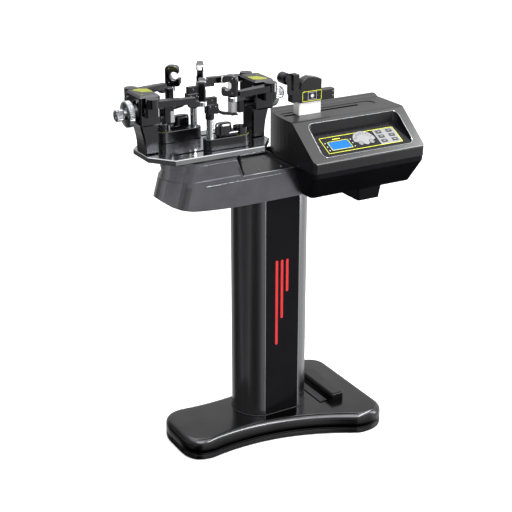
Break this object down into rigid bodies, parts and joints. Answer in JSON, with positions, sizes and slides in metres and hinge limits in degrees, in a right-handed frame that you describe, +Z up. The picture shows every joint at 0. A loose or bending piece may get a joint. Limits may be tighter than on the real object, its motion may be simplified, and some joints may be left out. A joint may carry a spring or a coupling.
{
  "type": "racket stringing machine",
  "caption": "Floor-standing electronic racket stringing machine with a pedestal, a revolving racket mounting, string clamps, a tension head and a control box.",
  "frame": {"origin": "on the floor, on the column's upright axis", "axes": "+Z up; +X along the machine from the turntable end to the control box; the operator stands on the -Y side"},
  "size_m": [0.856, 0.4066, 1.092],
  "materials": {
    "foot": "satin black stove enamel on a casting",
    "plate": "black paint on steel",
    "tread": "matt ribbed rubber",
    "column": "graphite anodised extrusion",
    "gloss_panel": "high gloss black",
    "arm": "graphite satin paint on a casting",
    "box": "graphite moulded shell",
    "box_under": "black moulded shell",
    "steel": "ground and polished",
    "chrome": "hard chrome",
    "black_metal": "satin black",
    "post": "gloss black lacquer on a casting",
    "white_plastic": "white moulding",
    "screen": "lit blue display",
    "key": "dark soft-touch",
    "board": "circuit board",
    "motor": "motor can"
  },
  "bodies": {
    "frame": {"base_shell": "foot", "base_plate": "plate", "tread_outer": "tread", "tread_inner": "tread", "column_tube": "column", "column_front_panel": "gloss_panel", "column_rear_panel": "gloss_panel", "arm_housing": "arm", "arm_deck": "gloss_panel", "turntable_bearing": "steel", "box_lower_body": "box_under", "box_top_cover": "box", "power_inlet": "box_under", "tension_motor": "motor", "control_board": "board", "power_supply_cover": "box_under", "control_fascia": "gloss_panel", "lcd_display": "screen", "dial_plate": "white_plastic"},
    "turntable": {"turntable_plate": "steel", "turntable_spindle": "steel", "post_left": "post", "post_right": "post"},
    "knob_right": {"knob_right": "steel"},
    "centre_mount_right": {"centre_mount_right": "black_metal"},
    "knob_left": {"knob_left": "steel"},
    "centre_mount_left": {"centre_mount_left": "black_metal"},
    "side_arm_front_left": {"side_arm_front_left": "black_metal"},
    "hook_front_left": {"hook_front_left": "post"},
    "side_arm_rear_left": {"side_arm_rear_left": "black_metal"},
    "hook_rear_left": {"hook_rear_left": "post"},
    "side_arm_front_right": {"side_arm_front_right": "black_metal"},
    "hook_front_right": {"hook_front_right": "post"},
    "side_arm_rear_right": {"side_arm_rear_right": "black_metal"},
    "hook_rear_right": {"hook_rear_right": "post"},
    "clamp_base_left": {"clamp_base_left": "black_metal"},
    "lock_lever_left": {"lock_lever_left": "post"},
    "clamp_shaft_left": {"clamp_shaft_left": "chrome"},
    "clamp_head_left": {"clamp_head_left": "black_metal"},
    "clamp_lever_left": {"clamp_lever_left": "black_metal"},
    "clamp_base_right": {"clamp_base_right": "black_metal"},
    "lock_lever_right": {"lock_lever_right": "post"},
    "clamp_shaft_right": {"clamp_shaft_right": "chrome"},
    "clamp_head_right": {"clamp_head_right": "black_metal"},
    "clamp_lever_right": {"clamp_lever_right": "black_metal"},
    "tension_head": {"tension_carriage": "white_plastic", "gripper_housing": "box"},
    "lead_screw": {"lead_screw": "chrome"},
    "gripper_jaw": {"gripper_jaw": "black_metal"},
    "string_guide": {"string_guide": "black_metal"},
    "key_1": {"key_1": "key"},
    "key_2": {"key_2": "key"},
    "key_3": {"key_3": "key"},
    "key_4": {"key_4": "key"},
    "key_5": {"key_5": "key"},
    "key_6": {"key_6": "key"},
    "round_button_1": {"round_button_1": "white_plastic"},
    "round_button_2": {"round_button_2": "white_plastic"},
    "power_switch": {"power_switch": "key"}
  },
  "joints": [
    {"name": "turntable_spin", "type": "hinge", "parent": "frame", "child": "turntable", "pos_m": [-0.208, 0, 0.89], "axis": [0, 0, 1], "continuous": true},
    {"name": "knob_right_turn", "type": "hinge", "parent": "turntable", "child": "knob_right", "pos_m": [0.012, 0, 1.0017], "axis": [1, 0, 0], "range_deg": [-810, 270]},
    {"name": "centre_mount_right_slide", "type": "slide", "parent": "turntable", "child": "centre_mount_right", "axis": [-1, 0, 0], "range_m": [-0.0181, 0.0061]},
    {"name": "knob_left_turn", "type": "hinge", "parent": "turntable", "child": "knob_left", "pos_m": [-0.428, 0, 1.0017], "axis": [-1, 0, 0], "range_deg": [-810, 270]},
    {"name": "centre_mount_left_slide", "type": "slide", "parent": "turntable", "child": "centre_mount_left", "axis": [1, 0, 0], "range_m": [-0.0181, 0.0061]},
    {"name": "side_arm_front_left_swing", "type": "hinge", "parent": "turntable", "child": "side_arm_front_left", "pos_m": [-0.38, -0.066, 1.04], "axis": [0, 0, -1], "range_deg": [0, 25]},
    {"name": "hook_front_left_swivel", "type": "hinge", "parent": "side_arm_front_left", "child": "hook_front_left", "pos_m": [-0.252, -0.09, 1.036], "axis": [0, 0, 1], "range_deg": [-35, 35]},
    {"name": "side_arm_rear_left_swing", "type": "hinge", "parent": "turntable", "child": "side_arm_rear_left", "pos_m": [-0.38, 0.066, 1.04], "axis": [0, 0, 1], "range_deg": [0, 25]},
    {"name": "hook_rear_left_swivel", "type": "hinge", "parent": "side_arm_rear_left", "child": "hook_rear_left", "pos_m": [-0.252, 0.09, 1.036], "axis": [0, 0, 1], "range_deg": [-35, 35]},
    {"name": "side_arm_front_right_swing", "type": "hinge", "parent": "turntable", "child": "side_arm_front_right", "pos_m": [-0.036, -0.066, 1.04], "axis": [0, 0, 1], "range_deg": [0, 25]},
    {"name": "hook_front_right_swivel", "type": "hinge", "parent": "side_arm_front_right", "child": "hook_front_right", "pos_m": [-0.164, -0.09, 1.036], "axis": [0, 0, 1], "range_deg": [-35, 35]},
    {"name": "side_arm_rear_right_swing", "type": "hinge", "parent": "turntable", "child": "side_arm_rear_right", "pos_m": [-0.036, 0.066, 1.04], "axis": [0, 0, -1], "range_deg": [0, 25]},
    {"name": "hook_rear_right_swivel", "type": "hinge", "parent": "side_arm_rear_right", "child": "hook_rear_right", "pos_m": [-0.164, 0.09, 1.036], "axis": [0, 0, 1], "range_deg": [-35, 35]},
    {"name": "clamp_base_left_slide", "type": "slide", "parent": "turntable", "child": "clamp_base_left", "axis": [1, 0, 0], "range_m": [-0.03, 0.055]},
    {"name": "lock_lever_left_turn", "type": "hinge", "parent": "clamp_base_left", "child": "lock_lever_left", "pos_m": [-0.29, 0.062, 0.93], "axis": [0, 0, 1], "range_deg": [0, 90]},
    {"name": "clamp_shaft_left_lift", "type": "slide", "parent": "clamp_base_left", "child": "clamp_shaft_left", "axis": [0, 0, 1], "range_m": [0, 0.022]},
    {"name": "clamp_head_left_swivel", "type": "hinge", "parent": "clamp_shaft_left", "child": "clamp_head_left", "pos_m": [-0.2, 0.062, 0.98], "axis": [0, 0, 1], "continuous": true},
    {"name": "clamp_lever_left_squeeze", "type": "hinge", "parent": "clamp_head_left", "child": "clamp_lever_left", "pos_m": [-0.218, 0.062, 0.996], "axis": [0, 1, 0], "range_deg": [0, 40]},
    {"name": "clamp_base_right_slide", "type": "slide", "parent": "turntable", "child": "clamp_base_right", "axis": [-1, 0, 0], "range_m": [-0.03, 0.055]},
    {"name": "lock_lever_right_turn", "type": "hinge", "parent": "clamp_base_right", "child": "lock_lever_right", "pos_m": [-0.126, -0.062, 0.93], "axis": [0, 0, 1], "range_deg": [0, 90]},
    {"name": "clamp_shaft_right_lift", "type": "slide", "parent": "clamp_base_right", "child": "clamp_shaft_right", "axis": [0, 0, 1], "range_m": [0, 0.022]},
    {"name": "clamp_head_right_swivel", "type": "hinge", "parent": "clamp_shaft_right", "child": "clamp_head_right", "pos_m": [-0.216, -0.062, 0.98], "axis": [0, 0, 1], "continuous": true},
    {"name": "clamp_lever_right_squeeze", "type": "hinge", "parent": "clamp_head_right", "child": "clamp_lever_right", "pos_m": [-0.198, -0.062, 0.996], "axis": [0, -1, 0], "range_deg": [0, 40]},
    {"name": "tension_slide", "type": "slide", "parent": "frame", "child": "tension_head", "axis": [1, 0, 0], "range_m": [0, 0.14]},
    {"name": "lead_screw_turn", "type": "hinge", "parent": "frame", "child": "lead_screw", "pos_m": [0.18, 0.008, 0.884], "axis": [1, 0, 0], "range_deg": [0, 2520]},
    {"name": "gripper_jaw_close", "type": "slide", "parent": "tension_head", "child": "gripper_jaw", "axis": [0, -1, 0], "range_m": [0, 0.005]},
    {"name": "string_guide_turn", "type": "hinge", "parent": "tension_head", "child": "string_guide", "pos_m": [0.044, 0, 1.04], "axis": [0, 1, 0], "continuous": true},
    {"name": "key_1_press", "type": "slide", "parent": "frame", "child": "key_1", "axis": [0, 0.454, -0.891], "range_m": [0, 0.0012], "stiffness_N_per_m": 300},
    {"name": "key_2_press", "type": "slide", "parent": "frame", "child": "key_2", "axis": [0, 0.454, -0.891], "range_m": [0, 0.0012], "stiffness_N_per_m": 300},
    {"name": "key_3_press", "type": "slide", "parent": "frame", "child": "key_3", "axis": [0, 0.454, -0.891], "range_m": [0, 0.0012], "stiffness_N_per_m": 300},
    {"name": "key_4_press", "type": "slide", "parent": "frame", "child": "key_4", "axis": [0, 0.454, -0.891], "range_m": [0, 0.0012], "stiffness_N_per_m": 300},
    {"name": "key_5_press", "type": "slide", "parent": "frame", "child": "key_5", "axis": [0, 0.454, -0.891], "range_m": [0, 0.0012], "stiffness_N_per_m": 300},
    {"name": "key_6_press", "type": "slide", "parent": "frame", "child": "key_6", "axis": [0, 0.454, -0.891], "range_m": [0, 0.0012], "stiffness_N_per_m": 300},
    {"name": "round_button_1_press", "type": "slide", "parent": "frame", "child": "round_button_1", "axis": [0, 0.454, -0.891], "range_m": [0, 0.0012], "stiffness_N_per_m": 300},
    {"name": "round_button_2_press", "type": "slide", "parent": "frame", "child": "round_button_2", "axis": [0, 0.454, -0.891], "range_m": [0, 0.0012], "stiffness_N_per_m": 300},
    {"name": "power_switch_rock", "type": "hinge", "parent": "frame", "child": "power_switch", "pos_m": [0.3615, 0.104, 0.862], "axis": [1, 0, 0], "range_deg": [0, 16]}
  ],
  "couplings": [
    {"joint": "centre_mount_right_slide", "follows": "knob_right_turn", "m_per_rad": 0.0012732},
    {"joint": "centre_mount_left_slide", "follows": "knob_left_turn", "m_per_rad": 0.0012732},
    {"joint": "side_arm_rear_left_swing", "follows": "side_arm_front_left_swing", "ratio": 1},
    {"joint": "side_arm_rear_right_swing", "follows": "side_arm_front_right_swing", "ratio": 1},
    {"joint": "lead_screw_turn", "follows": "tension_slide", "rad_per_m": 314.16}
  ]
}
